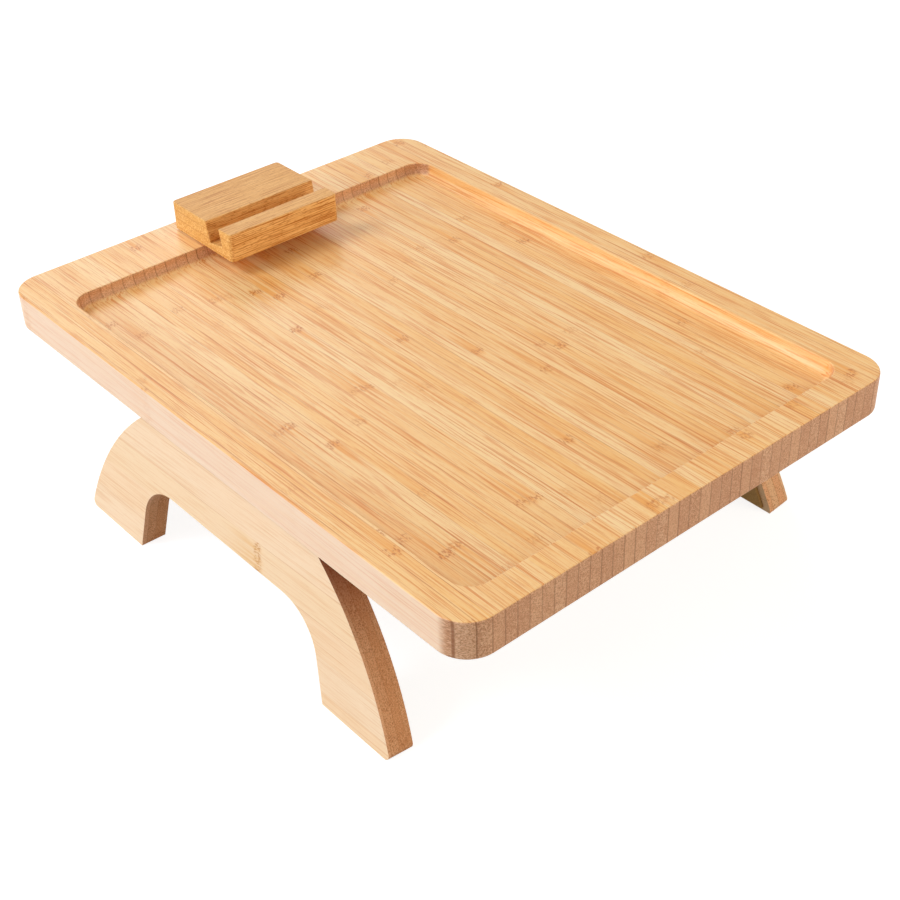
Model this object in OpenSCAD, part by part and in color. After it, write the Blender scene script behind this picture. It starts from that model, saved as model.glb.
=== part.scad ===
// Sofa tray: a bamboo board with a coved pocket on two folding arch legs, and a turning phone holder.
// X runs across the board, Y along its strips towards the phone holder, Z up; the origin is on the
// floor under the middle of the board.

/* [Board] */
// Length of the board, along its strips
board_l = 402; // [360:1:460]
// Width of the board, across its strips
board_w = 300; // [280:1:360]
// Thickness of the board
board_t = 22; // [20:0.5:28]
// Radius of the board's corners
board_corner_r = 18; // [10:0.5:30]
// Bevel that eases the board's outer edges
board_bevel = 1; // [0.5:0.1:2]
// Depth of the pocket
pocket_depth = 8; // [6:0.5:10]
// Radius of the pocket's corners, seen from above
pocket_corner_r = 12; // [9:0.5:20]
// Radius of the cove between the pocket's walls and its floor
cove_r = 5.5; // [3:0.5:6]
// Width of the two side rims
side_rim_w = 19; // [14:0.5:30]
// Width of the front rim
front_rim_w = 18.5; // [14:0.5:30]
// Width of the back rim, which carries the phone holder
back_rim_w = 39; // [34:0.5:50]

/* [Legs] */
// Height of the board's underside above the floor
stand_h = 100.5; // [92:0.5:110]
// Thickness of a leg
leg_t = 15.5; // [14:0.5:20]
// Angle by which each leg leans out from the board
leg_splay = 6.5; // [2:0.5:8]
// Set-back of a leg's outer face from the board's side, under the board
leg_setback = 9.5; // [3:0.5:12]
// Distance of the legs' middle in front of the board's middle
leg_forward = 4; // [0:0.5:12]
// Length of a leg's top, under the board
leg_top_l = 129; // [126:1:160]
// Length over both feet of a leg
feet_span = 283; // [260:1:300]
// Length of one foot on the floor
foot_l = 55; // [44:1:60]
// Radius of the bowed outer edges
bow_r = 190; // [170:1:280]
// Depth of the bridge between board and arch
bridge_h = 50.5; // [42:0.5:56]
// Length of the arch's flat top, between its sharp corners
arch_top_l = 151; // [125:1:158]
// Radius of the arch's inner corners
arch_corner_r = 30; // [16:0.5:32]
// Radius of the feet's outer corners
foot_corner_r = 3.5; // [2:0.5:6]

/* [Grip pads] */
// Thickness of a grip pad
pad_t = 2; // [1:0.1:2.5]
// Distance of a pad from the edges of its leg
pad_inset = 4.5; // [3:0.5:7]

/* [Hinges] */
// Length of a hinge, along its pin
hinge_l = 40; // [34:1:50]
// Width of a hinge leaf, from the pin's axis
leaf_w = 21; // [19:0.5:23]
// Thickness of a hinge leaf
leaf_t = 1.4; // [1.2:0.1:1.6]
// Radius of the hinge knuckles
knuckle_r = 2.9; // [2.6:0.1:3.2]
// Radius of the hinge pin
hinge_pin_r = 1.4; // [1.1:0.1:1.5]
// Distance from the legs' middle to the middle of each hinge
hinge_offset = 41; // [36:1:42]
// Radius of the leaves' outer corners
leaf_corner_r = 3; // [1:0.5:4]
// Radius of a hinge screw's shank
screw_r = 1.5; // [1.2:0.1:1.7]
// Radius of a hinge screw's head
screw_head_r = 2.8; // [2.4:0.1:3]
// Length of a hinge screw
screw_l = 11; // [8:0.5:12]

/* [Phone holder] */
// Length of the holder, across the board
holder_l = 79; // [70:1:100]
// Depth of the holder, from its front to its back
holder_d = 62; // [58:1:70]
// Height of the holder
holder_h = 18; // [16:0.5:24]
// Radius of the holder's upright corners
holder_corner_r = 2.5; // [1:0.5:5]
// Depth of the front lip, in front of the slot
lip_d = 12; // [8:0.5:14]
// Width of the slot that holds the phone
slot_w = 13; // [10:0.5:16]
// Lean of the slot, backwards
slot_lean = 11; // [5:1:15]
// Wood left under the slot
slot_floor_t = 4.5; // [3:0.5:5]
// Distance from the pivot to the holder's back face
pivot_from_back = 11; // [11:0.5:18]

/* [Pivot] */
// Radius of the pivot bolt's shank
bolt_r = 3; // [2.5:0.25:3.5]
// Radius of the bolt's head
bolt_head_r = 5.5; // [5:0.25:6]
// Height of the bolt's head
bolt_head_h = 3; // [2.5:0.25:3.5]
// Radius of the bolt's steel washer
washer_r = 7; // [6.5:0.25:8]
// Thickness of the bolt's steel washer
washer_t = 1; // [0.8:0.1:1.2]
// Radius of the threaded insert
insert_r = 4.5; // [4.25:0.25:5.5]
// Length of the threaded insert
insert_l = 10; // [8:0.5:11]
// Radius of the glide disc under the holder
disc_r = 10; // [8:0.5:10.5]
// Thickness of the glide disc under the holder
disc_t = 0.8; // [0.5:0.1:1]

/* [Hidden] */

$fn = 96;

// Clearances and overruns
run_gap = 0.05;      // radial gap of a pin or bolt in its bore
fixed_gap = 0.05;    // radial gap of a screw or insert in its own wood
part_gap = 0.2;      // gap between faces that move past each other
knuckle_gap = 0.3;   // gap between a knuckle and what turns round it
bore_end = 1;        // room past the end of a screw or bolt
over = 1;            // overrun of every cut
seam = 0.01;         // depth by which faces that would only touch cross each other

// Sides and ends, as signs
left = -1;
right = 1;
front = -1;
rear = 1;

// Board
top_z = stand_h + board_t;
pocket_w = board_w - 2 * side_rim_w;
pocket_l = board_l - front_rim_w - back_rim_w;
pocket_y = (front_rim_w - back_rim_w) / 2;
pocket_z = top_z - pocket_depth;

// Legs, in the plane of their outer face: the outline's x runs along the board and its y up the leg
leg_h = stand_h / cos(leg_splay);
arch_h = leg_h - bridge_h;
arch_bottom_l = feet_span - 2 * foot_l;
arch_lean = atan2((arch_bottom_l - arch_top_l) / 2, arch_h);
bow_chord = [(leg_top_l - feet_span) / 2, leg_h];
bow_turn = sqrt(pow(bow_r, 2) - pow(norm(bow_chord) / 2, 2)) / norm(bow_chord);
bow_centre = [
    (leg_top_l + feet_span) / 4 - bow_chord[1] * bow_turn,
    leg_h / 2 + bow_chord[0] * bow_turn,
];
leg_face_x = board_w / 2 - leg_setback;
leg_inner_x = leg_face_x - leg_t / cos(leg_splay);

// Hinges: the axis lies as far from the board's underside as from the leg's inner face
axis_gap = knuckle_r + knuckle_gap;
axis_x = leg_inner_x + axis_gap * (tan(leg_splay) - 1 / cos(leg_splay));
axis_z = stand_h - axis_gap;
knuckle_l = (hinge_l - 2 * part_gap) / 3;
pin_head_r = (hinge_pin_r + knuckle_r) / 2;
pin_head_t = hinge_pin_r / 2;
screw_head_h = screw_head_r - screw_r;
screw_tip_l = 2 * screw_r;
screw_u_share = 0.62;
screw_v_share = 0.3;

// Pads
pad_top_h = arch_h - pad_inset;

// Phone holder and its pivot
pivot_y = (board_l - back_rim_w) / 2;
holder_z = top_z + disc_t + part_gap;
holder_back_y = pivot_y + pivot_from_back;
holder_front_y = holder_back_y - holder_d;
bolt_seat_z = stand_h + bolt_head_h + washer_t + 2 * part_gap;
insert_z = holder_z + part_gap;
slot_depth = (holder_h - slot_floor_t - slot_w * sin(slot_lean)) / cos(slot_lean);
bolt_top_z = insert_z + insert_l - part_gap;

// Rectangle with true round corners
module round_rect(w, l, r) {
    square([w - 2 * r, l], center = true);
    square([w, l - 2 * r], center = true);
    for (x = [-1, 1], y = [-1, 1])
        translate([x * (w / 2 - r), y * (l / 2 - r)])
            circle(r);
}

// Runs the child's outline along the edge of a round_rect: its x points outwards, its y up
module along_edge(w, l, r) {
    for (s = [-1, 1]) {
        translate([s * w / 2, 0, 0])
            rotate([90, 0, s > 0 ? 0 : 180])
                linear_extrude(l - 2 * r, center = true)
                    children();
        translate([0, s * l / 2, 0])
            rotate([90, 0, s > 0 ? 90 : 270])
                linear_extrude(w - 2 * r, center = true)
                    children();
    }
    for (x = [-1, 1], y = [-1, 1])
        translate([x * (w / 2 - r), y * (l / 2 - r), 0])
            rotate([0, 0, x > 0 ? (y > 0 ? 0 : 270) : (y > 0 ? 90 : 180)])
                rotate_extrude(angle = 90)
                    translate([r, 0])
                        children();
}

// Wood that bevels take off an outer edge at height zero
module bevel_outline(size) {
    polygon([[-size, 0], [-size, over], [over, over], [over, -size], [0, -size]]);
}

// Wood left in the angle of a wall and a floor at height zero, hollowed by a cove
module cove_outline(r) {
    difference() {
        translate([-r, -over])
            square([r + over, r + over]);
        translate([-r, r])
            circle(r);
    }
}

// A screw along -Z, its flat head at height zero
module screw_shape() {
    translate([0, 0, -screw_head_h])
        cylinder(h = screw_head_h, r1 = screw_r, r2 = screw_head_r);
    translate([0, 0, -(screw_l - screw_tip_l)])
        cylinder(h = screw_l - screw_tip_l, r = screw_r);
    translate([0, 0, -screw_l])
        cylinder(h = screw_tip_l, r1 = 0, r2 = screw_r);
}

// Round hole for a screw's shank, along -Z from height zero
module screw_hole() {
    translate([0, 0, -(screw_l + bore_end)])
        cylinder(h = screw_l + bore_end + over, r = screw_r + fixed_gap);
}

// Turns right-hand shapes into left-hand ones
module on_side(side) {
    mirror([side < 0 ? 1 : 0, 0, 0])
        children();
}

// Places the child on a hinge's axis; z points from the axis to the leaf's mounting face and
// x along the leaf, away from the axis
module on_tray_leaf(end) {
    translate([axis_x, -leg_forward + end * hinge_offset, axis_z])
        mirror([1, 0, 0])
            children();
}

module on_leg_leaf(end) {
    translate([axis_x, -leg_forward + end * hinge_offset, axis_z])
        rotate([0, 90 - leg_splay, 0])
            children();
}

module at_leaf_screws() {
    for (v = [-1, 1])
        translate([leaf_w * screw_u_share, v * hinge_l * screw_v_share, axis_gap - leaf_t])
            mirror([0, 0, 1])
                children();
}

// One leaf with its knuckles, given as their places along the pin: -1, 0 or 1
module leaf(knuckles) {
    difference() {
        union() {
            translate([0, 0, axis_gap - leaf_t])
                linear_extrude(leaf_t)
                    leaf_outline(knuckles);
            for (k = knuckles)
                translate([0, k * (knuckle_l + part_gap), 0])
                    rotate([90, 0, 0])
                        cylinder(h = knuckle_l, r = knuckle_r, center = true);
        }
        rotate([90, 0, 0])
            cylinder(h = hinge_l + 2 * over, r = hinge_pin_r + run_gap, center = true);
        at_leaf_screws() {
            translate([0, 0, -screw_head_h])
                cylinder(h = screw_head_h, r1 = screw_r + fixed_gap, r2 = screw_head_r + fixed_gap);
            translate([0, 0, -(leaf_t + over)])
                cylinder(h = leaf_t + 2 * over, r = screw_r + fixed_gap);
        }
    }
}

module leaf_outline(knuckles) {
    root = axis_gap + knuckle_gap;
    translate([root, -hinge_l / 2])
        square([leaf_w - root - leaf_corner_r, hinge_l]);
    translate([root, -hinge_l / 2 + leaf_corner_r])
        square([leaf_w - root, hinge_l - 2 * leaf_corner_r]);
    for (v = [-1, 1])
        translate([leaf_w - leaf_corner_r, v * (hinge_l / 2 - leaf_corner_r)])
            circle(leaf_corner_r);
    for (k = knuckles)
        translate([0, k * (knuckle_l + part_gap) - knuckle_l / 2])
            square([root + leaf_corner_r, knuckle_l]);
}

module hinge_pin(side, end) {
    color("silver")
        on_side(side)
            translate([axis_x, -leg_forward + end * hinge_offset, axis_z])
                rotate([90, 0, 0]) {
                    cylinder(h = hinge_l + 2 * part_gap, r = hinge_pin_r, center = true);
                    for (s = [-1, 1])
                        translate([0, 0, s * (hinge_l / 2 + part_gap + pin_head_t / 2)])
                            cylinder(h = pin_head_t, r = pin_head_r, center = true);
                }
}

module tray_leaf(side, end) {
    color("lightgray")
        on_side(side)
            on_tray_leaf(end)
                leaf([-1, 1]);
}

module leg_leaf(side, end) {
    color("lightgray")
        on_side(side)
            on_leg_leaf(end)
                leaf([0]);
}

module tray_screws(side) {
    color("silver")
        on_side(side)
            for (end = [front, rear])
                on_tray_leaf(end)
                    at_leaf_screws()
                        screw_shape();
}

module leg_screws(side) {
    color("silver")
        on_side(side)
            for (end = [front, rear])
                on_leg_leaf(end)
                    at_leaf_screws()
                        screw_shape();
}

// Outline of a leg, drawn in from its edges by inset
module leg_outline(inset) {
    difference() {
        intersection() {
            translate([-feet_span / 2, inset - (inset > 0 ? 0 : over)])
                square([feet_span, leg_h + leg_t]);
            for_both_bows(inset);
        }
        arch_outline(inset);
        if (inset == 0)
            for (s = [0, 1])
                mirror([s, 0])
                    foot_corner_cut();
    }
}

module for_both_bows(inset) {
    intersection() {
        translate(bow_centre)
            circle(bow_r - inset, $fn = 360);
        mirror([1, 0])
            translate(bow_centre)
                circle(bow_r - inset, $fn = 360);
    }
}

// The opening between the feet, with round upper corners
module arch_outline(inset) {
    r = arch_corner_r + inset;
    half = arch_top_l / 2 + inset * (1 / cos(arch_lean) + tan(arch_lean));
    h = arch_h + inset;
    reach = r * tan((90 - arch_lean) / 2);
    side_point = [half + reach * sin(arch_lean) - seam, h - reach * cos(arch_lean)];
    low_point = [half + (h + over) * tan(arch_lean) - seam, -over];
    polygon([
        low_point, side_point, [half - reach, h - r], [half - reach, h],
        [reach - half, h], [reach - half, h - r],
        [-side_point[0], side_point[1]], [-low_point[0], low_point[1]],
    ]);
    for (s = [-1, 1])
        translate([s * (half - reach), h - r])
            circle(r);
}

// What rounds off a foot's sharp outer corner
module foot_corner_cut() {
    r = foot_corner_r;
    y = r - seam;
    x = bow_centre[0] + sqrt(pow(bow_r - y, 2) - pow(bow_centre[1] - y, 2));
    towards = atan2(y - bow_centre[1], x - bow_centre[0]);
    reach = 2 * (r + over);
    difference() {
        polygon([
            [x, y],
            [x + reach * cos(towards), y + reach * sin(towards)],
            [x + reach * cos(towards), -over],
            [x, -over],
        ]);
        translate([x, y])
            circle(r);
    }
}

// Stands a leg's outline up in the leaning plane of the leg; depth counts inwards from its outer face
module leg_plate(depth, thickness) {
    translate([leg_face_x, -leg_forward, stand_h])
        rotate([0, -leg_splay, 0])
            translate([-(depth + thickness), 0, -leg_h])
                rotate([90, 0, 90])
                    linear_extrude(thickness)
                        children();
}

module leg(side) {
    color("burlywood")
        on_side(side)
            difference() {
                intersection() {
                    leg_plate(0, leg_t)
                        leg_outline(0);
                    translate([0, -board_l / 2, 0])
                        cube([board_w, board_l, stand_h - part_gap]);
                }
                for (end = [front, rear])
                    on_leg_leaf(end)
                        at_leaf_screws()
                            screw_hole();
            }
}

module pad(side, end) {
    color("darkkhaki")
        on_side(side)
            leg_plate(leg_t, pad_t)
                intersection() {
                    leg_outline(pad_inset);
                    translate([end > 0 ? 0 : -feet_span / 2, 0])
                        square([feet_span / 2, pad_top_h]);
                }
}

module tray_board() {
    color("burlywood")
        difference() {
            translate([0, 0, stand_h])
                linear_extrude(board_t)
                    round_rect(board_w, board_l, board_corner_r);
            translate([0, 0, top_z])
                along_edge(board_w, board_l, board_corner_r)
                    bevel_outline(board_bevel);
            translate([0, 0, stand_h])
                mirror([0, 0, 1])
                    along_edge(board_w, board_l, board_corner_r)
                        bevel_outline(board_bevel);
            pocket();
            pivot_bore();
            for (side = [left, right], end = [front, rear])
                on_side(side)
                    on_tray_leaf(end)
                        at_leaf_screws()
                            screw_hole();
        }
}

module pocket() {
    translate([0, pocket_y, pocket_z])
        difference() {
            linear_extrude(pocket_depth + over)
                round_rect(pocket_w, pocket_l, pocket_corner_r);
            along_edge(pocket_w, pocket_l, pocket_corner_r)
                cove_outline(cove_r);
        }
}

// Bore of the pivot bolt through the back rim, with the counterbore for its head and washer
module pivot_bore() {
    translate([0, pivot_y, stand_h - over]) {
        cylinder(h = board_t + 2 * over, r = bolt_r + run_gap);
        cylinder(h = bolt_seat_z - stand_h + over, r = washer_r + part_gap);
    }
}

module phone_holder() {
    color("peru")
        difference() {
            translate([0, holder_back_y - holder_d / 2, holder_z])
                linear_extrude(holder_h)
                    round_rect(holder_l, holder_d, holder_corner_r);
            phone_slot();
            translate([0, pivot_y, holder_z - over])
                cylinder(h = over + part_gap + insert_l + bore_end, r = insert_r + fixed_gap);
        }
}

module phone_slot() {
    translate([0, holder_front_y + lip_d, holder_z + holder_h])
        rotate([-slot_lean, 0, 0])
            translate([-(holder_l / 2 + over), 0, -slot_depth])
                cube([holder_l + 2 * over, slot_w, holder_h + over]);
}

module pivot_bolt() {
    color("silver")
        translate([0, pivot_y, 0]) {
            translate([0, 0, bolt_seat_z - washer_t - part_gap - bolt_head_h])
                cylinder(h = bolt_head_h, r = bolt_head_r);
            translate([0, 0, bolt_seat_z - washer_t - part_gap - bolt_head_h / 2])
                cylinder(h = bolt_top_z - bolt_seat_z + washer_t + part_gap + bolt_head_h / 2, r = bolt_r);
        }
}

module pivot_washer() {
    color("gainsboro")
        translate([0, pivot_y, bolt_seat_z - washer_t])
            ring(washer_r, bolt_r + run_gap, washer_t);
}

module pivot_insert() {
    color("goldenrod")
        translate([0, pivot_y, insert_z])
            ring(insert_r, bolt_r + fixed_gap, insert_l);
}

module pivot_disc() {
    color("ivory")
        translate([0, pivot_y, top_z])
            ring(disc_r, bolt_r + run_gap, disc_t);
}

module ring(r, bore_r, h) {
    difference() {
        cylinder(h = h, r = r);
        translate([0, 0, -over])
            cylinder(h = h + 2 * over, r = bore_r);
    }
}

tray_board();
leg(left);  // left_leg
leg(right);  // right_leg
pad(left, front);  // left_front_pad
pad(left, rear);  // left_rear_pad
pad(right, front);  // right_front_pad
pad(right, rear);  // right_rear_pad
tray_leaf(left, front);  // left_front_tray_leaf
tray_leaf(left, rear);  // left_rear_tray_leaf
tray_leaf(right, front);  // right_front_tray_leaf
tray_leaf(right, rear);  // right_rear_tray_leaf
leg_leaf(left, front);  // left_front_leg_leaf
leg_leaf(left, rear);  // left_rear_leg_leaf
leg_leaf(right, front);  // right_front_leg_leaf
leg_leaf(right, rear);  // right_rear_leg_leaf
hinge_pin(left, front);  // left_front_hinge_pin
hinge_pin(left, rear);  // left_rear_hinge_pin
hinge_pin(right, front);  // right_front_hinge_pin
hinge_pin(right, rear);  // right_rear_hinge_pin
tray_screws(left);  // left_tray_screws
tray_screws(right);  // right_tray_screws
leg_screws(left);  // left_leg_screws
leg_screws(right);  // right_leg_screws
phone_holder();
pivot_bolt();
pivot_washer();
pivot_insert();
pivot_disc();
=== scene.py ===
import math

import bmesh
import bpy
from mathutils import Matrix, Vector


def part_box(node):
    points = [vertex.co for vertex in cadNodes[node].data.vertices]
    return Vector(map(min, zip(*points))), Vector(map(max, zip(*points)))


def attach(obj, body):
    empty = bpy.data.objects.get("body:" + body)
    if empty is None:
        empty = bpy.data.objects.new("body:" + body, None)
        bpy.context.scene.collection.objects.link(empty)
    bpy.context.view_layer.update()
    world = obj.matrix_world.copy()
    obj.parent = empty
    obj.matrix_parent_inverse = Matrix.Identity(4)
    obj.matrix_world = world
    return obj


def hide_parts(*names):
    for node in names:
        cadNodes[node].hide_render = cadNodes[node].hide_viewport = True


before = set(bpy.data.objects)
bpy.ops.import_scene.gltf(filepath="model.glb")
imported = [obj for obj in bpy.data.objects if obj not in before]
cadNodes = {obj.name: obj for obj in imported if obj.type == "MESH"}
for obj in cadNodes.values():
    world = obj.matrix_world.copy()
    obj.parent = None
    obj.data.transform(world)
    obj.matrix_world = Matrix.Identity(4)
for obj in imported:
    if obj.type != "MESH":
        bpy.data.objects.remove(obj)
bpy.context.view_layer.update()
print("frame loaded:", len(cadNodes), "nodes")


# Colours are written as they look on screen, 0 to 255

def colour(red, green, blue):
    def linear(part):
        part /= 255
        return part / 12.92 if part <= 0.04045 else ((part + 0.055) / 1.055) ** 2.4
    return (linear(red), linear(green), linear(blue), 1)


class Wire:  # an output socket; sums written on it add Math nodes
    def __init__(self, recipe, socket):
        self.recipe = recipe
        self.socket = socket

    def maths(self, operation, *others):
        return self.recipe.sum(operation, self, *others)

    def also(self, output):
        return Wire(self.recipe, self.socket.node.outputs[output])

    def __add__(self, other):
        return self.maths("ADD", other)

    __radd__ = __add__

    def __mul__(self, other):
        return self.maths("MULTIPLY", other)

    __rmul__ = __mul__

    def __sub__(self, other):
        return self.maths("SUBTRACT", other)

    def __rsub__(self, other):
        return self.recipe.sum("SUBTRACT", other, self)

    def __truediv__(self, other):
        return self.maths("DIVIDE", other)

    def __rtruediv__(self, other):
        return self.recipe.sum("DIVIDE", other, self)

    def __gt__(self, other):
        return self.maths("GREATER_THAN", other)

    def __lt__(self, other):
        return self.maths("LESS_THAN", other)

    def __abs__(self):
        return self.maths("ABSOLUTE")


class Recipe:  # the nodes of one material or world
    def __init__(self, owner, shader):
        owner.use_nodes = True
        self.owner = owner
        self.tree = owner.node_tree
        self.shader = self.tree.nodes[shader]

    def node(self, kind, settings=None, sockets=None, output=0):
        made = self.tree.nodes.new(kind)
        for name, value in (settings or {}).items():
            if name == "stops":
                ramp = made.color_ramp.elements
                while len(ramp) < len(value):
                    ramp.new(1)
                for stop, (place, shade) in zip(ramp, value):
                    stop.position = place
                    stop.color = shade
            else:
                setattr(made, name, value)
        for name, value in (sockets or {}).items():
            self.feed(made.inputs[name], value)
        return Wire(self, made.outputs[output])

    def feed(self, socket, value):
        if isinstance(value, Wire):
            self.tree.links.new(value.socket, socket)
        else:
            socket.default_value = value

    def finish(self, **sockets):
        for name, value in sockets.items():
            self.feed(self.shader.inputs[name.replace("_", " ")], value)
        return self.owner

    def sum(self, operation, *values):
        return self.node("ShaderNodeMath", {"operation": operation}, dict(enumerate(values)))

    def vector(self, x, y, z):
        return self.node("ShaderNodeCombineXYZ", {}, {0: x, 1: y, 2: z})

    def noise(self, place, detail=2.0, roughness=0.5, distortion=0.0):
        return self.node("ShaderNodeTexNoise", {}, {
            "Vector": place, "Scale": 1.0, "Detail": detail, "Roughness": roughness,
            "Distortion": distortion})

    def cells(self, place):
        return self.node("ShaderNodeTexVoronoi", {}, {"Vector": place, "Scale": 1.0})

    def chance(self, number):
        return self.node("ShaderNodeTexWhiteNoise", {"noise_dimensions": "1D"}, {"W": number})

    def smooth(self, value, low, high, floor=0.0, top=1.0):
        return self.node("ShaderNodeMapRange", {"interpolation_type": "SMOOTHSTEP"}, {
            "Value": value, "From Min": low, "From Max": high, "To Min": floor, "To Max": top})

    def edges(self, share, size, width, core):  # 1 at both edges of a strip or ply, 0 within it
        return self.smooth(abs(share - 0.5), 0.5 - width / size, 0.5 - core / size)

    def ramp(self, value, *stops):
        return self.node("ShaderNodeValToRGB", {"stops": stops}, {"Fac": value})

    def blend(self, share, first, second):  # colours
        return self.node("ShaderNodeMix", {"data_type": "RGBA"}, {
            0: share, 6: first, 7: second}, output=2)

    def bump(self, height, distance, strength):
        return self.node("ShaderNodeBump", {}, {
            "Height": height, "Distance": distance, "Strength": strength})

    def millimetres(self, turn=(0, 0, 0), shift=(0, 0, 0)):  # the object's own coordinates
        coords = self.node("ShaderNodeTexCoord", {}, {}, "Object")
        return self.node("ShaderNodeMapping", {}, {
            "Vector": coords, "Scale": (1000, 1000, 1000), "Location": shift,
            "Rotation": [math.radians(angle) for angle in turn]})


def mixed(name):
    return Recipe(bpy.data.materials.new(name), "Principled BSDF")


# Bamboo: glued strips, with fibres along the grain, dark joints, knuckle marks and speckled ends.
# Strips lie side by side in the across direction, and their fibres run in the grain direction.
# Lengths are in millimetres. A pair of levels, such as 0.60 and 0.70, is where in a noise a mark
# starts to show and where it is full. The strip's number, times some odd figure, keeps the
# patterns of neighbouring strips apart.

woodLook = {  # what a wood has unless its own look says otherwise
    "turn": (0, 0, 0), "shift": (0, 0, 0), "sideFrom": 0.0, "rimFrom": 900.0, "rimSpread": 0.0,
    "streaks": 1.0, "fineness": 1.0, "dashes": 0.14,
    "plyEnds": False, "endFrom": 0.25, "endTo": 0.7, "endBack": 1.0, "endSpread": 0.5,
}
figure = {  # sizes that the woods share, widths across the fibres and lengths along them
    "driftWidth": 60.0, "driftLength": 160.0, "driftReach": 4.0,
    "toneLength": 110.0, "toneDepth": 9.0, "streakWidth": 1.9, "streakLength": 70.0,
    "lineWidth": 0.85, "lineLength": 110.0, "hairLength": 34.0, "dashLength": 4.0,
    "markWidth": 4.2, "markCore": 1.5, "markBend": 9.0, "bendWidth": 3.1, "bendDepth": 5.0,
    "strokeWidth": 0.8, "strokeLength": 2.2, "stainStart": -7.0, "stainFull": 1.0,
    "stainCore": 2.0, "stainLength": 34.0,
    "jointWidth": 0.44, "jointCore": 0.1, "jointRun": 38.0, "endJointWidth": 0.6,
    # the two heights across a leg, in millimetres, over which the painted shade on the leg's end
    # faces grows
    "endJointCore": 0.15, "plyJointWidth": 0.3, "plyToneLength": 30.0, "paintedShadeFrom": 38.0,
    "paintedShadeTo": 98.0, "dotWidth": 0.95, "curlWidth": 1.5, "endLength": 9.0, "gritLength": 7.0,
    "bumpDepth": 0.000015, "bumpStrength": 0.3,  # the depth in metres
}


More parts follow.
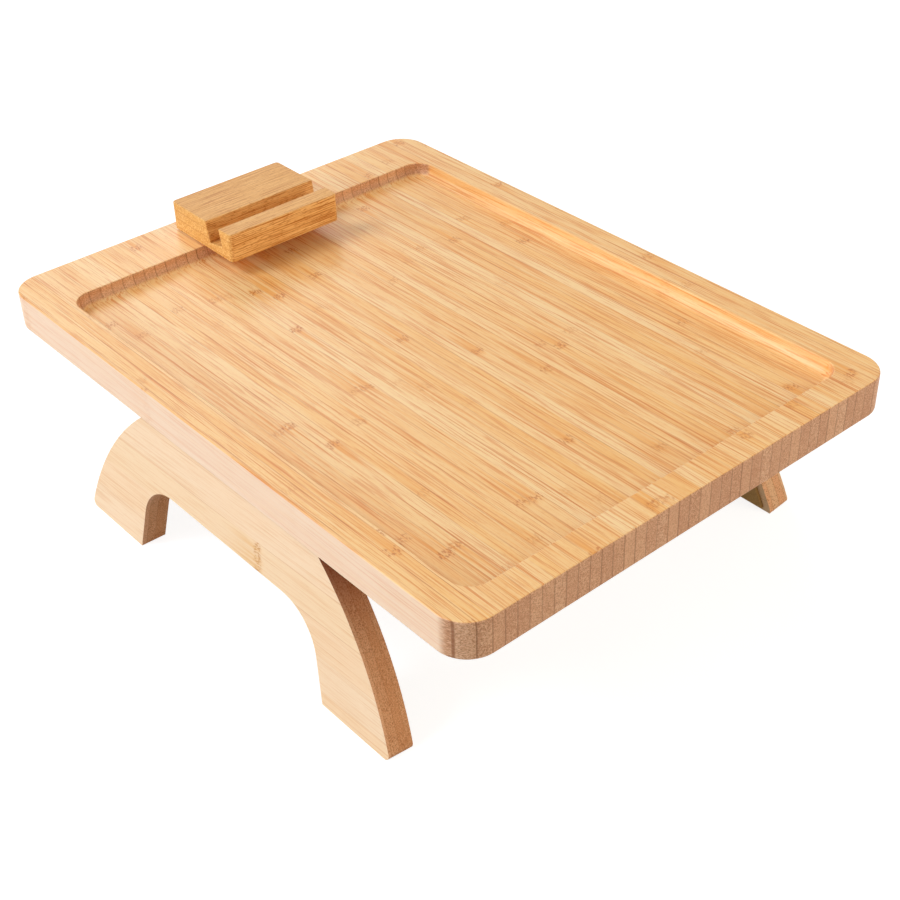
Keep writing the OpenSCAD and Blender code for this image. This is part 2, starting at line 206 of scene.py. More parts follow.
def bamboo(name, look):
    look = {**woodLook, **look}
    make = mixed(name)
    make.shader.inputs["Specular IOR Level"].default_value = look["shine"]
    place = make.millimetres(look["turn"], look["shift"])
    parts = make.node("ShaderNodeSeparateXYZ", {}, {0: place})
    normal = make.node("ShaderNodeTexCoord", {}, {}, "Normal")
    facing = make.node("ShaderNodeSeparateXYZ", {}, {0: normal})
    across, grain, up = (parts.also(look[axis]) for axis in ("across", "grain", "up"))
    faceAcross, faceUp = (abs(facing.also(look[axis])) for axis in ("across", "up"))
    front = facing.also(look["grain"]) * -1.0
    faceGrain = front.maths("MAXIMUM", front * -look["endBack"])

    # Which strip a point lies in, and what chance gives to that strip
    wander = make.noise(make.vector(
        across / figure["driftWidth"], grain / figure["driftLength"], up / figure["driftWidth"]))
    wander = (wander - 0.5) * look["drift"] * figure["driftReach"]
    count = (across + wander) / look["strip"] + 100.0
    layerCount = up / look["layer"] + 50.5
    layer = layerCount.maths("FLOOR")
    within = count.maths("FRACT")
    number = count.maths("FLOOR") + layer * 17.0 + look["seed"]
    luck, luckTwo, luckThree = (make.chance(number + step) for step in (0.0, 0.37, 0.71))

    # End grain where the surface faces along the fibres, side where it faces across the strips;
    # endBack holds the end grain back on what faces the back
    endShare = make.smooth(faceGrain, look["endFrom"], look["endTo"])
    endShare = endShare * make.smooth(faceUp, 0.92, 0.6)
    sideShare = make.smooth(faceAcross, 0.75, 0.97) * (abs(across) > look["sideFrom"])
    calm = (1.0 - look["sideCalm"] * sideShare) * look["contrast"]

    # Tone of each strip, drifting along its length
    slow = make.noise(make.vector(
        number * 3.1, grain / figure["toneLength"], up / figure["toneDepth"]), 1.0)
    rim = (abs(across) > look["rimFrom"]) * (luckTwo - 0.55) * look["rimSpread"]
    tone = luck * 0.66 + slow * 0.66 - 0.16 + rim
    usual = make.ramp(tone, (0.08, look["pale"]), (0.5, look["usual"]), (0.95, look["deep"]))
    usual = make.blend(make.smooth(luckThree, 0.45, 1.0) * 0.4, usual, look["honey"])
    side = make.ramp(tone, (0.1, look["sidePale"]), (0.9, look["sideDeep"]))
    body = make.blend(sideShare, usual, side)

    # Fibres: soft streaks, long sharp lines, fine hairs and dashes, crowded at one side of a strip
    crowd = (within - 0.5) * (luckTwo - 0.5) * 0.4
    broadAcross, broadUp = across / figure["streakWidth"], up / figure["streakWidth"]
    broad = make.noise(make.vector(
        broadAcross + number * 5.0, grain / figure["streakLength"], broadUp), 1.0)
    width = look["fineness"] * figure["lineWidth"]
    fineAcross, fineUp = across / width, up / width
    lines = make.noise(make.vector(
        fineAcross + number * 7.0, grain / figure["lineLength"], fineUp), 1.0, 0.6)
    hairs = make.noise(make.vector(
        fineAcross, grain / figure["hairLength"], fineUp + 9.0), 1.0, 0.7)
    dashes = make.noise(make.vector(
        fineAcross, grain / figure["dashLength"], fineUp + 19.0), 1.0, 0.7)
    lineShare = make.smooth(lines + crowd, 0.60, 0.70)
    streaks = calm * look["streaks"]
    body = make.blend(make.smooth(broad + crowd, 0.50, 0.72) * 0.34 * streaks, body, look["streak"])
    body = make.blend(make.smooth(broad + crowd, 0.44, 0.26) * 0.30 * streaks, body, look["pale"])
    body = make.blend(lineShare * look["lines"] * calm, body, look["fibre"])
    body = make.blend(make.smooth(hairs, 0.52, 0.66) * 0.5 * calm, body, look["fibre"])
    body = make.blend(make.smooth(hairs, 0.48, 0.30) * 0.40 * calm, body, look["pale"])
    body = make.blend(make.smooth(dashes, 0.54, 0.70) * look["dashes"] * calm, body, look["fibre"])

    # Knuckles: short strokes, and at one side of them an amber stain that runs out
    home = (luckTwo - 0.5) * look["markSpread"] + look["markAt"]
    turnsAlong = (grain - home) / look["markEvery"] + 20.5
    bent = make.noise(make.vector(
        across / figure["bendWidth"], number, up / figure["bendDepth"]))
    bent = (bent - 0.5) * figure["markBend"]
    fromMark = (turnsAlong.maths("FRACT") - 0.5) * look["markEvery"] + bent
    force = make.chance(number + turnsAlong.maths("FLOOR") * 5.3)
    force = make.smooth(force, 1.0 - look["markShare"], 1.0, 0.0, 1.0) * (1.0 - 0.75 * sideShare)
    strokes = make.noise(make.vector(
        across / figure["strokeWidth"], grain / figure["strokeLength"],
        up / figure["strokeWidth"]), 1.0)
    strokes = make.smooth(strokes, 0.48, 0.60)
    markShare = make.smooth(abs(fromMark), figure["markWidth"], figure["markCore"]) * force
    run = fromMark * make.smooth(luck, 0.499, 0.501, -1.0, 1.0)
    stain = make.smooth(run, figure["stainLength"], figure["stainCore"]) * force
    stain = stain * make.smooth(run, figure["stainStart"], figure["stainFull"])
    stain = stain * make.smooth(abs(within - 0.5 + crowd), 0.5, 0.25)
    body = make.blend(stain * (0.15 + 0.6 * make.smooth(broad, 0.38, 0.62)), body, look["amber"])
    body = make.blend(markShare * (strokes * 0.75 + 0.08), body, look["mark"])

    # Joints between strips: thin lines that come and go
    joint = make.edges(within, look["strip"], figure["jointWidth"], figure["jointCore"])
    comeAndGo = make.noise(make.vector(number * 2.3, grain / figure["jointRun"], layer), 1.0)
    comeAndGo = make.smooth(comeAndGo, 0.38, 0.64)
    body = make.blend(joint * comeAndGo * (luckThree * 0.55 + 0.25), body, look["joint"])

    # Ends: bundles of fibres as dots, crowded at one side of the strip, in a few strips a maze
    endLuck, endSlow = luck, slow
    endJoint = make.edges(within, look["strip"], figure["endJointWidth"], figure["endJointCore"])
    if look["plyEnds"]:
        endLuck = make.chance(layer + look["seed"])
        endSlow = make.noise(make.vector(
            layer * 3.1, grain / figure["plyToneLength"], across / figure["plyToneLength"]), 1.0)
        endJoint = make.edges(
            layerCount.maths("FRACT"), look["layer"], figure["plyJointWidth"], 0.0)
    end = make.ramp((endLuck - 0.5) * look["endSpread"] + endSlow * 0.4 + crowd * 0.5 + 0.27,
                    (0.1, look["endPale"]), (0.85, look["endDeep"]))
    dots = make.cells(make.vector(
        across / figure["dotWidth"], grain / figure["endLength"], up / figure["dotWidth"]))
    grit = make.noise(make.vector(
        across / look["gritSize"], grain / figure["gritLength"], up / look["gritSize"]), 1.0, 0.7)
    coarse = (0.75 + 0.4 * luckThree) * look["grit"]
    end = make.blend(make.smooth(dots, 0.45, 0.15) * (0.34 + crowd) * coarse, end, look["dot"])
    end = make.blend(make.smooth(grit, 0.50, 0.66) * 0.55 * coarse, end, look["spark"])
    end = make.blend(make.smooth(grit, 0.48, 0.32) * 0.50 * coarse, end, look["dot"])
    curls = make.noise(make.vector(
        across / figure["curlWidth"], grain / figure["endLength"], up / figure["curlWidth"]),
        0.0, 0.5, 0.8)
    maze = make.smooth(abs(curls - 0.5), 0.05, 0.01) * (luckThree > 0.86)
    end = make.blend(maze * 0.6 * look["grit"], end, look["spark"])
    end = make.blend(endJoint * (0.3 + 0.55 * luckTwo), end, look["endJoint"])
    # Painted shade: on plied ends, the upper part of each end face turns deep red-brown with
    # height, for the shade that the board above casts on it
    if look["plyEnds"]:
        high = make.smooth(across, figure["paintedShadeFrom"], figure["paintedShadeTo"])
        end = make.blend(high, end, look["endPaintedShade"])
    wood = make.blend(endShare, body, end)

    rough = look["roughness"] + (lines - 0.5) * 0.14 + endShare * 0.14
    height = lineShare * -0.5 - joint * 0.4 + grit * endShare * 0.8
    return make.finish(Base_Color=wood, Roughness=rough,
                       Normal=make.bump(height, figure["bumpDepth"], figure["bumpStrength"]))


# Metals, rubber and nylon

steelLook = {
    "pale": colour(214, 213, 209), "deep": colour(186, 185, 182), "spot": colour(150, 146, 140),
    "roughness": 0.30, "brushed": (1.2, 14.0, 1.2), "cloud": 6.0,
    "bumpDepth": 0.00001, "bumpStrength": 0.3,
}
pinLook = {**steelLook, "pale": colour(206, 205, 202), "roughness": 0.24,
           "brushed": (0.8, 0.8, 0.8)}
screwLook = {**steelLook, "pale": colour(198, 197, 192), "roughness": 0.27,
             "brushed": (0.6, 0.6, 0.6)}
brassLook = {**steelLook, "pale": colour(224, 190, 118), "deep": colour(196, 158, 88),
             "spot": colour(150, 116, 62), "brushed": (1.0, 1.0, 3.0)}


def metal(name, look):
    make = mixed(name)
    parts = make.node("ShaderNodeSeparateXYZ", {}, {0: make.millimetres()})
    x, y, z = (parts.also(axis) / size for axis, size in zip("XYZ", look["brushed"]))
    brushed = make.noise(make.vector(x * 4, y, z * 4), 3.0, 0.6)
    clouds = make.noise(make.vector(*(way / look["cloud"] for way in (x, y, z))), 2.0)
    shade = make.ramp(brushed, (0.3, look["pale"]), (0.75, look["deep"]))
    shade = make.blend(make.smooth(clouds, 0.56, 0.8) * 0.5, shade, look["spot"])
    make.shader.inputs["Metallic"].default_value = 1.0
    return make.finish(Base_Color=shade, Roughness=look["roughness"] + (clouds - 0.5) * 0.2,
                       Normal=make.bump(brushed, look["bumpDepth"], look["bumpStrength"]))


padLook = {
    "pale": colour(196, 160, 100), "usual": colour(176, 138, 80), "deep": colour(146, 110, 60),
    "grain": 0.8, "cloud": 14.0, "roughness": 0.82, "bumpDepth": 0.00006, "bumpStrength": 0.5,
}
nylonLook = {
    "pale": colour(240, 236, 224), "usual": colour(232, 227, 213), "deep": colour(216, 210, 194),
    "grain": 0.5, "cloud": 14.0, "roughness": 0.45, "bumpDepth": 0.00006, "bumpStrength": 0.5,
}


def grained(name, look):  # rubber or nylon, one colour with a fine grain
    make = mixed(name)
    place = make.millimetres()
    fine = make.noise(make.node("ShaderNodeVectorMath", {"operation": "SCALE"}, {
        0: place, "Scale": 1 / look["grain"]}), 2.0, 0.6)
    clouds = make.noise(make.node("ShaderNodeVectorMath", {"operation": "SCALE"}, {
        0: place, "Scale": 1 / look["cloud"]}), 1.0)
    shade = make.ramp(fine * 0.6 + clouds * 0.4, (0.3, look["deep"]), (0.5, look["usual"]),
                      (0.7, look["pale"]))
    return make.finish(Base_Color=shade, Roughness=look["roughness"] + (fine - 0.5) * 0.15,
                       Normal=make.bump(fine, look["bumpDepth"], look["bumpStrength"]))


print("finishes ready")

# Shapes

slack = 1e-6  # in metres; heights closer than this are the same
weld = 2e-6  # in metres; corners of a CAD mesh closer than this are one


def keep(bm, name):  # turns a bmesh into an object at the origin
    mesh = bpy.data.meshes.new(name)
    bm.to_mesh(mesh)
    bm.free()
    thing = bpy.data.objects.new(name, mesh)
    bpy.context.scene.collection.objects.link(thing)
    return thing


def gather(bm, part, place=None):  # moves the geometry of one bmesh into another
    if place is not None:
        part.transform(place)
    scrap = bpy.data.meshes.new("scrap")
    part.to_mesh(scrap)
    part.free()
    bm.from_mesh(scrap)
    bpy.data.meshes.remove(scrap)


def satin(thing, crease=38):  # smooth shading that leaves flat faces flat
    thing.data.shade_smooth()
    thing.data.set_sharp_from_angle(angle=math.radians(crease))
    flatten = thing.modifiers.new("flatFaces", "WEIGHTED_NORMAL")
    flatten.keep_sharp = True
    flatten.weight = 100
    return thing


def settle(thing, material, node, body):  # finish, CAD node and body of a piece
    thing.data.materials.append(material)
    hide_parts(node)
    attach(thing, body)
    return thing


def rounded(bm, edges, width, steps):
    return bmesh.ops.bevel(bm, geom=edges, offset=width, offset_type="OFFSET", affect="EDGES",
                           segments=steps, profile=0.5, material=-1, clamp_overlap=True)


def block(bm, low, high):  # a box from its low corner to its high one
    made = bmesh.ops.create_cube(bm, size=1)["verts"]
    bmesh.ops.scale(bm, verts=made, vec=high - low)
    bmesh.ops.translate(bm, verts=made, vec=(low + high) / 2)


def upright(edge):
    run = edge.verts[1].co - edge.verts[0].co
    return abs(run.z) > 0.99 * run.length


def level(part, height):  # an edge or a face
    return all(abs(vert.co.z - height) < slack for vert in part.verts)


def fromCad(node, name, width, steps, crease=50):  # a CAD node's mesh with its sharp edges eased
    bm = bmesh.new()
    bm.from_mesh(cadNodes[node].data)
    bmesh.ops.remove_doubles(bm, verts=bm.verts, dist=weld)
    bmesh.ops.dissolve_limit(bm, angle_limit=math.radians(0.5), verts=bm.verts, edges=bm.edges)
    sharp = [edge for edge in bm.edges
             if len(edge.link_faces) == 2 and edge.calc_face_angle(0) > math.radians(crease)]
    rounded(bm, sharp, width, steps)
    bmesh.ops.triangulate(bm, faces=bm.faces)
    return keep(bm, name)


def lathe(outline, closed=False, steps=40):  # spins points of radius and height about the Z axis
    bm = bmesh.new()
    verts = [bm.verts.new((radius, 0, height)) for radius, height in outline]
    ends = verts[1:] + verts[:1] if closed else verts[1:]
    edges = [bm.edges.new(pair) for pair in zip(verts, ends)]
    bmesh.ops.spin(bm, geom=verts + edges, cent=(0, 0, 0), axis=(0, 0, 1), angle=math.tau,
                   steps=steps, use_merge=True)
    bmesh.ops.remove_doubles(bm, verts=bm.verts, dist=1e-7)
    bmesh.ops.recalc_face_normals(bm, faces=bm.faces)
    return bm


def recess(bm, outline, height, depth, taper):  # closes the open rim at height round a sunk outline
    rim = [edge for edge in bm.edges if edge.is_boundary and level(edge, height)]
    mouth = [bm.verts.new((x, y, height)) for x, y in outline]
    floor = [bm.verts.new((x * taper, y * taper, height - depth)) for x, y in outline]
    rims = {}
    for name, ring in (("mouth", mouth), ("floor", floor)):
        rims[name] = [bm.edges.new(pair) for pair in zip(ring, ring[1:] + ring[:1])]
    bmesh.ops.bridge_loops(bm, edges=rims["mouth"] + rims["floor"])
    bmesh.ops.triangle_fill(bm, use_beauty=True, edges=rim + rims["mouth"], normal=(0, 0, 1))
    bmesh.ops.triangle_fill(bm, use_beauty=True, edges=rims["floor"], normal=(0, 0, 1))
    bmesh.ops.recalc_face_normals(bm, faces=bm.faces)
    return bm


# The board

boardLook = {
    "across": "X", "grain": "Y", "up": "Z", "strip": 7.4, "layer": 60.0, "drift": 0.35, "seed": 3.0,
    "pale": colour(255, 222, 168), "usual": colour(254, 213, 152), "deep": colour(247, 193, 122),
    "honey": colour(250, 192, 104), "streak": colour(246, 182, 102),
    "sidePale": colour(255, 230, 206), "sideDeep": colour(252, 219, 188),
    "sideFrom": 144.0, "sideCalm": 0.7, "rimFrom": 176.0, "rimSpread": 0.9,
    "fibre": colour(218, 126, 40), "joint": colour(184, 98, 24), "contrast": 1.0, "lines": 0.74,
    "mark": colour(194, 106, 28), "amber": colour(240, 164, 68),
    "markEvery": 130.0, "markAt": 0.0, "markSpread": 130.0, "markShare": 0.9,
    "endPale": colour(228, 177, 136), "endDeep": colour(202, 146, 106),
    "endJoint": colour(146, 88, 46), "dot": colour(160, 104, 62), "spark": colour(246, 206, 170),
    "endFrom": 0.03, "endTo": 0.34, "endBack": 0.35, "endSpread": 0.6,
    "grit": 1.15, "gritSize": 0.7, "roughness": 0.4, "shine": 0.55,
}
boardShape = {
    "sideRim": 0.019, "frontRim": 0.0185, "backRim": 0.039, "pocketDepth": 0.008,
    "cornerRadius": 0.018, "pocketCorner": 0.012, "coveRadius": 0.0055,
    "edge": 0.0009, "lip": 0.0007, "cornerSteps": 14, "coveSteps": 8, "edgeSteps": 3,
    "boreRadius": 0.00305, "sinkRadius": 0.0072, "sinkDepth": 0.0044, "boreSteps": 48,
    "pivotBack": 0.0195,
}


def makeBoard():
    shape = boardShape
    low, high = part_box("tray_board")
    bm = bmesh.new()
    block(bm, low, high)
    rounded(bm, [e for e in bm.edges if upright(e)], shape["cornerRadius"], shape["cornerSteps"])

    pocketLow = Vector((low.x + shape["sideRim"], low.y + shape["frontRim"],
                        high.z - shape["pocketDepth"]))
    pocketHigh = Vector((high.x - shape["sideRim"], high.y - shape["backRim"], high.z))
    air = bmesh.new()
    block(air, pocketLow, pocketHigh)
    rounded(air, [e for e in air.edges if upright(e)], shape["pocketCorner"], shape["cornerSteps"])
    rounded(air, [e for e in air.edges if level(e, pocketLow.z)], shape["coveRadius"],
            shape["coveSteps"])
    bmesh.ops.reverse_faces(air, faces=air.faces)
    gather(bm, air)

    caps = [f for f in bm.faces if level(f, high.z)]
    bmesh.ops.delete(bm, geom=caps, context="FACES_ONLY")
    bmesh.ops.bridge_loops(bm, edges=[e for e in bm.edges if e.is_boundary and level(e, high.z)])
    sharp = [e for e in bm.edges if (level(e, high.z) or level(e, low.z))
             and e.calc_face_angle(0) > 1]
    inPocket = [e for e in sharp if level(e, high.z) and all(
        pocketLow.x - 10 * slack < v.co.x < pocketHigh.x + 10 * slack
        and pocketLow.y - 10 * slack < v.co.y < pocketHigh.y + 10 * slack for v in e.verts)]
    outside = [e for e in sharp if e not in set(inPocket)]
    rounded(bm, inPocket, shape["lip"], shape["edgeSteps"])
    rounded(bm, outside, shape["edge"], shape["edgeSteps"])

    # The flat faces are filled anew round the pivot's bore and the sink of its bolt
    flats = [f for f in bm.faces if level(f, high.z) or level(f, low.z)]
    bmesh.ops.delete(bm, geom=flats, context="FACES")
    pivot = Vector((0, high.y - shape["pivotBack"], 0))
    seat = low.z + shape["sinkDepth"]
    rings = {}
    for ring, radius, height in (("boreTop", "boreRadius", high.z), ("boreLow", "boreRadius", seat),
                                 ("sinkTop", "sinkRadius", seat), ("sinkLow", "sinkRadius", low.z)):
        place = Matrix.Translation(pivot + Vector((0, 0, height)))
        made = bmesh.ops.create_circle(bm, segments=shape["boreSteps"], radius=shape[radius],
                                       matrix=place)["verts"]
        rings[ring] = list({e for v in made for e in v.link_edges})
    for first, second in (("boreTop", "boreLow"), ("boreLow", "sinkTop"), ("sinkTop", "sinkLow")):
        bmesh.ops.bridge_loops(bm, edges=rings[first] + rings[second])
    for height in (high.z, low.z):
        loops = [e for e in bm.edges if e.is_boundary and level(e, height)]
        bmesh.ops.triangle_fill(bm, use_beauty=True, edges=loops, normal=(0, 0, 1))
    bmesh.ops.recalc_face_normals(bm, faces=bm.faces)
    return satin(keep(bm, "boardWood"))


settle(makeBoard(), bamboo("boardBamboo", boardLook), "tray_board", "tray")
print("board made")

# The legs with their grip pads

legLook = {
    "across": "Z", "grain": "Y", "up": "X", "strip": 21.0, "layer": 5.2, "drift": 0.2, "seed": 41.0,
    "pale": colour(255, 230, 198), "usual": colour(255, 226, 192), "deep": colour(254, 220, 181),
    "honey": colour(252, 219, 172), "streak": colour(245, 205, 158),
    "sidePale": colour(232, 180, 128), "sideDeep": colour(218, 158, 102), "sideCalm": 0.4,
    "fibre": colour(228, 172, 112), "joint": colour(214, 160, 106), "contrast": 0.5, "lines": 0.6,
    "mark": colour(206, 142, 74), "amber": colour(240, 192, 128),
    "markEvery": 400.0, "markAt": -30.0, "markSpread": 14.0, "markShare": 0.9,
    "plyEnds": True, "endPale": colour(244, 190, 148), "endDeep": colour(218, 154, 106),
    # painted shade: the deep red-brown end colour stands for the board's shade on the tops of the
    # end faces
    "endPaintedShade": colour(124, 36, 0), "endJoint": colour(192, 130, 84),
    "dot": colour(154, 94, 52), "spark": colour(246, 200, 158), "endSpread": 1.0,
    "grit": 1.1, "gritSize": 0.6, "roughness": 0.48, "shine": 0.12,
}
# Painted light: the right leg's end faces are painted paler than the left leg's, for the extra
# light that reaches them
rightEndsPaintedLight = {"endPale": colour(255, 214, 174), "endDeep": colour(248, 182, 138)}
legShape = {  # tilt and lean in degrees and depth and lift in millimetres lay the grain in the leg
    "edge": 0.0008, "edgeSteps": 3, "padEdge": 0.0003, "padSteps": 2, "padFill": 0.9,
    "tilt": 2.4, "lean": 6.5, "depth": 151, "lift": 12.9,
}
sides = {"left": -1, "right": 1}
padRubber = grained("padRubber", padLook)

for side, sign in sides.items():
    look = {**legLook, "turn": (legShape["tilt"], sign * legShape["lean"], 0),
            "shift": (-sign * legShape["depth"], 0, legShape["lift"])}
    if side == "right":
        look.update(rightEndsPaintedLight)
    leg = fromCad(side + "_leg", side + "LegWood", legShape["edge"], legShape["edgeSteps"])
    wood = bamboo(side + "LegBamboo", look)
    settle(satin(leg), wood, side + "_leg", side + "_side")
    for end in ("front", "rear"):
        node = f"{side}_{end}_pad"
        name = f"{side}{end.title()}Pad"
        pad = satin(fromCad(node, name, legShape["padEdge"], legShape["padSteps"]))
        settle(pad, padRubber, node, side + "_side")
print("legs and pads made")

# The hinges: leaves, pins and countersunk screws with a cross recess

hingeShape = {
    "leafEdge": 0.00015, "leafSteps": 2,
    "pinRadius": 0.0014, "pinHead": 0.00215, "pinHeadHeight": 0.0007,
    "screwOut": 0.01302, "screwAside": 0.012, "screwSeat": 0.0018,
    "screwHead": 0.0028, "screwRadius": 0.0015, "screwLength": 0.011, "thread": 0.0011,
    "headFlat": 0.93, "headRim": 0.00012, "neck": 0.001, "core": 0.72,
    "crossReach": 0.0016, "crossWidth": 0.00042, "crossDepth": 0.0011, "crossTaper": 0.7,
}


def screw():  # its head at height zero, its tip down
    shape = hingeShape
    head, shank, length = shape["screwHead"], shape["screwRadius"], shape["screwLength"]
    core = shank * shape["core"]
    height = shank - head - shape["neck"]
    outline = [(head * shape["headFlat"], 0), (head, -shape["headRim"]), (shank, shank - head),
               (shank, height)]
    while height - shape["thread"] > 2 * shank - length:
        outline += [(core, height - shape["thread"] * 0.5), (shank, height - shape["thread"])]
        height -= shape["thread"]
    outline += [(core, height - shape["thread"] * 0.4), (0, -length)]
    wide, reach = shape["crossWidth"], shape["crossReach"]
    cross = [(reach, -wide), (reach, wide), (wide, wide), (wide, reach), (-wide, reach),
             (-wide, wide), (-reach, wide), (-reach, -wide), (-wide, -wide), (-wide, -reach),
             (wide, -reach), (wide, -wide)]
    return recess(lathe(outline), cross, 0, shape["crossDepth"], shape["crossTaper"])


def pin(halfLength):  # along the Z axis, with a domed head at each end
    shape = hingeShape
    radius, head, cap = shape["pinRadius"], shape["pinHead"], shape["pinHeadHeight"]
    half = [(0, halfLength), (head * 0.6, halfLength - cap * 0.06),
            (head * 0.88, halfLength - cap * 0.3), (head, halfLength - cap * 0.7),
            (head, halfLength - cap), (radius, halfLength - cap)]
    return lathe(half + [(around, -height) for around, height in reversed(half)])


hingeSteel = metal("hingeSteel", steelLook)
pinSteel = metal("pinSteel", pinLook)
screwSteel = metal("screwSteel", screwLook)

for side, sign in sides.items():
    lean = math.radians(legShape["lean"])
    leafWays = {  # for each leaf: the way out from the pin, and the way its screws go in
        "tray": (Vector((-sign, 0, 0)), Vector((0, 0, 1))),
        "leg": (Vector((sign * math.sin(lean), 0, -math.cos(lean))),
                Vector((sign * math.cos(lean), 0, math.sin(lean)))),
    }
    screws = {leaf: bmesh.new() for leaf in leafWays}
    for end in ("front", "rear"):
        node = f"{side}_{end}_hinge_pin"
        low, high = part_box(node)
        axis = (low + high) / 2
        turned = pin((high.y - low.y) / 2)
        turned.transform(Matrix.Translation(axis) @ Matrix.Rotation(math.pi / 2, 4, "X"))
        settle(satin(keep(turned, f"{side}{end.title()}Pin")), pinSteel, node, "tray")
        for leaf, (out, inward) in leafWays.items():
            body = "tray" if leaf == "tray" else side + "_side"
            node = f"{side}_{end}_{leaf}_leaf"
            name = f"{side}{end.title()}{leaf.title()}Leaf"
            plate = fromCad(node, name, hingeShape["leafEdge"], hingeShape["leafSteps"])
            settle(satin(plate), hingeSteel, node, body)
            for aside in (-1, 1):
                seat = (axis + out * hingeShape["screwOut"] + inward * hingeShape["screwSeat"]
                        + Vector((0, aside * hingeShape["screwAside"], 0)))
                turn = (-inward).to_track_quat("Z", "Y").to_matrix().to_4x4()
                spun = Matrix.Rotation(0.9 * aside + sign, 4, "Z")  # no two crosses alike
                gather(screws[leaf], screw(), Matrix.Translation(seat) @ turn @ spun)
    for leaf, group in screws.items():
        body = "tray" if leaf == "tray" else side + "_side"
        thing = satin(keep(group, f"{side}{leaf.title()}Screws"))
        settle(thing, screwSteel, f"{side}_{leaf}_screws", body)
print("hinges made")

# The phone holder on its pivot

holderLook = {
    "across": "Z", "grain": "X", "up": "Y", "strip": 5.7, "layer": 20.0, "drift": 0.15,
    "seed": 77.0, "contrast": 2.1, "fineness": 0.75, "streaks": 0.4, "lines": 0.42, "dashes": 0.36,
    "pale": colour(254, 210, 144), "usual": colour(245, 194, 124), "deep": colour(232, 176, 102),
    "honey": colour(234, 178, 106), "streak": colour(214, 156, 94),
    "sidePale": colour(241, 188, 118), "sideDeep": colour(227, 168, 94), "sideCalm": 0.3,
    "fibre": colour(192, 120, 50), "joint": colour(198, 130, 62),
    "mark": colour(160, 94, 38), "amber": colour(212, 136, 58),
    "markEvery": 260.0, "markAt": 60.0, "markSpread": 10.0, "markShare": 0.3,
    "endPale": colour(236, 188, 112), "endDeep": colour(224, 168, 90),
    "endJoint": colour(206, 142, 72), "dot": colour(204, 132, 58), "spark": colour(254, 214, 148),
    "grit": 1.4, "gritSize": 0.7, "roughness": 0.42, "shine": 0.2,
}
pivotShape = {
    "holderEdge": 0.0008, "edgeSteps": 3, "easing": 0.0003, "steps": 64,
    "headHeight": 0.003, "headEdge": 0.0006, "shank": 0.003,
    "hexagon": 0.0023, "hexagonDepth": 0.0018, "shankBore": 0.00305,
    "insertBore": 0.00305, "insertCrease": 20, "knurl": 0.00012, "knurls": 6,
}


def ring(low, high, bore, ridges=0, ridge=0.0):  # a ring round the Z axis with eased edges
    outer, ease = (high.x - low.x) / 2, pivotShape["easing"]
    bottom, top = low.z + ease, high.z - ease
    outline = [(bore, top), (bore, bottom), (bore + ease, low.z), (outer - ease, low.z),
               (outer, bottom)]
    step = (top - bottom) / (ridges + 1)
    for count in range(ridges):
        at = bottom + (count + 1) * step
        outline += [(outer, at - step * 0.25), (outer - ridge, at), (outer, at + step * 0.25)]
    outline += [(outer, top), (outer - ease, high.z), (bore + ease, high.z)]
    bm = lathe(outline, closed=True, steps=pivotShape["steps"])
    bm.transform(Matrix.Translation(((low.x + high.x) / 2, (low.y + high.y) / 2, 0)))
    return bm


def bolt(low, high):  # its head hangs down and has a hexagon socket
    shape = pivotShape
    radius, edge, length = (high.x - low.x) / 2, shape["headEdge"], high.z - low.z
    outline = [(radius - edge, 0), (radius - edge * 0.3, -edge * 0.3), (radius, -edge),
               (radius, -shape["headHeight"]), (shape["shank"], -shape["headHeight"]),
               (shape["shank"], -length + edge), (shape["shank"] - edge, -length), (0, -length)]
    angles = [math.tau * count / 6 for count in range(6)]
    hexagon = [(shape["hexagon"] * math.cos(a), shape["hexagon"] * math.sin(a)) for a in angles]
    bm = recess(lathe(outline, steps=shape["steps"]), hexagon, 0, shape["hexagonDepth"], 1.0)
    place = Matrix.Translation(((low.x + high.x) / 2, (low.y + high.y) / 2, low.z))
    bm.transform(place @ Matrix.Rotation(math.pi, 4, "X"))
    return bm


holderWood = fromCad("phone_holder", "holderWood", pivotShape["holderEdge"],
                     pivotShape["edgeSteps"])
settle(satin(holderWood), bamboo("holderBamboo", holderLook), "phone_holder",
       "holder")
boltSteel = satin(keep(bolt(*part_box("pivot_bolt")), "pivotBolt"))
settle(boltSteel, screwSteel, "pivot_bolt", "holder")
washer = satin(keep(ring(*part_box("pivot_washer"), pivotShape["shankBore"]), "pivotWasher"))
settle(washer, screwSteel, "pivot_washer", "tray")
insert = ring(*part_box("pivot_insert"), pivotShape["insertBore"], pivotShape["knurls"],
              pivotShape["knurl"])
insert = satin(keep(insert, "pivotInsert"), pivotShape["insertCrease"])
settle(insert, metal("insertBrass", brassLook), "pivot_insert", "holder")
disc = satin(keep(ring(*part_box("pivot_disc"), pivotShape["shankBore"]), "pivotDisc"))
settle(disc, grained("discNylon", nylonLook), "pivot_disc", "tray")
print("phone holder made")

# Studio: a white floor that keeps the shadow, a white world, a wide lamp high at the back left,
# and four lesser lamps at the front, the left side and the back

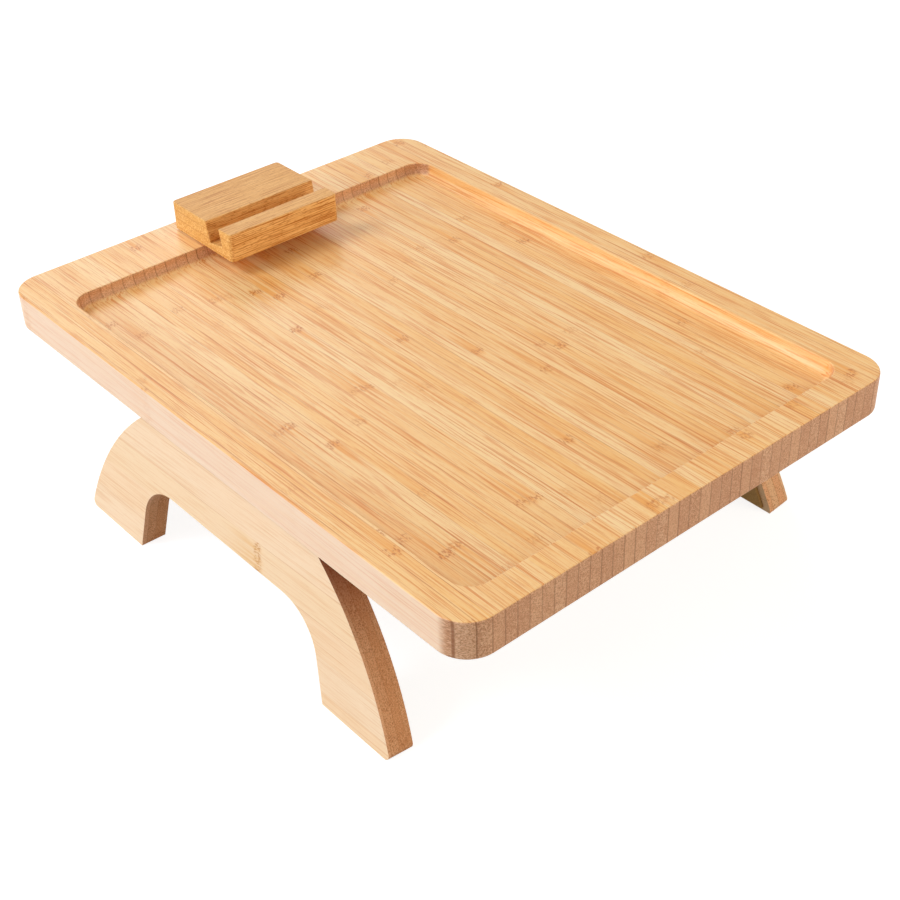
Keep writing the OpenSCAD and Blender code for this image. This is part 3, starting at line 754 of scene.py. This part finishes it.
studio = {  # for each lamp: place, size, power and tint
    "floor": colour(160, 166, 174), "floorRough": 0.9, "floorReach": 4, "floorGlow": 0.85,
    "world": 0.32, "worldTint": (1.0, 0.90, 0.79, 1),
    "key": ((-2.9, 1.75, 3.65), 1.9, 107.0, (0.96, 0.98, 1.0)),
    "fill": ((1.05, -1.85, 0.40), 0.5, 9.2, (1.0, 0.82, 0.62)),
    "warm": ((0.45, -1.3, 0.95), 0.7, 4.6, (1.0, 0.8, 0.5)),
    "side": ((-3.6, 1.2, 0.975), 1.8, 53.0, (1.0, 0.98, 0.97)),
    "back": ((0.84, 2.03, 1.61), 1.0, 9.0, (0.98, 0.99, 1.0)),
}


def makeLamp(name):
    place, size, power, tint = studio[name]
    light = bpy.data.lights.new(name + "Lamp", "AREA")
    light.size = size
    light.energy = power
    light.color = tint
    lamp = bpy.data.objects.new(name + "Lamp", light)
    lamp.location = place
    lamp.rotation_euler = (-Vector(place)).to_track_quat("-Z", "Y").to_euler()
    bpy.context.scene.collection.objects.link(lamp)


def seenShare(make):  # 1 for rays from the camera, from gloss and through glass
    rays = make.node("ShaderNodeLightPath")
    seen = rays.maths("MAXIMUM", rays.also("Is Glossy Ray"))
    return seen.maths("MAXIMUM", rays.also("Is Transmission Ray"))


for lampName in ("key", "fill", "warm", "side", "back"):
    makeLamp(lampName)

ground = bmesh.new()
bmesh.ops.create_grid(ground, x_segments=1, y_segments=1, size=studio["floorReach"])
floor = keep(ground, "floor")
paint = mixed("floorWhite")
glow = paint.blend(seenShare(paint), (0, 0, 0, 1), (studio["floorGlow"],) * 3 + (1,))
floor.data.materials.append(paint.finish(
    Base_Color=studio["floor"], Roughness=studio["floorRough"],
    Emission_Color=glow, Emission_Strength=1.0))

sky = bpy.data.worlds.new("studioWorld")
bpy.context.scene.world = sky
air = Recipe(sky, "Background")
seen = seenShare(air)
air.finish(Color=air.blend(seen, studio["worldTint"], (1, 1, 1, 1)),
           Strength=air.smooth(seen, 0.0, 1.0, studio["world"], 1.0))

view = {"place": (-0.46269, -0.57062, 0.57147), "turn": (53.936, 1.454, -40.936), "lens": 62.222}
camera = bpy.data.objects.new("camera", bpy.data.cameras.new("camera"))
camera.location = view["place"]
camera.rotation_euler = [math.radians(angle) for angle in view["turn"]]
camera.data.lens = view["lens"]
camera.data.sensor_width = 36
camera.data.clip_start = 0.01
bpy.context.scene.collection.objects.link(camera)
bpy.context.scene.camera = camera
bpy.context.scene.view_settings.view_transform = "Standard"

print("scene ready")
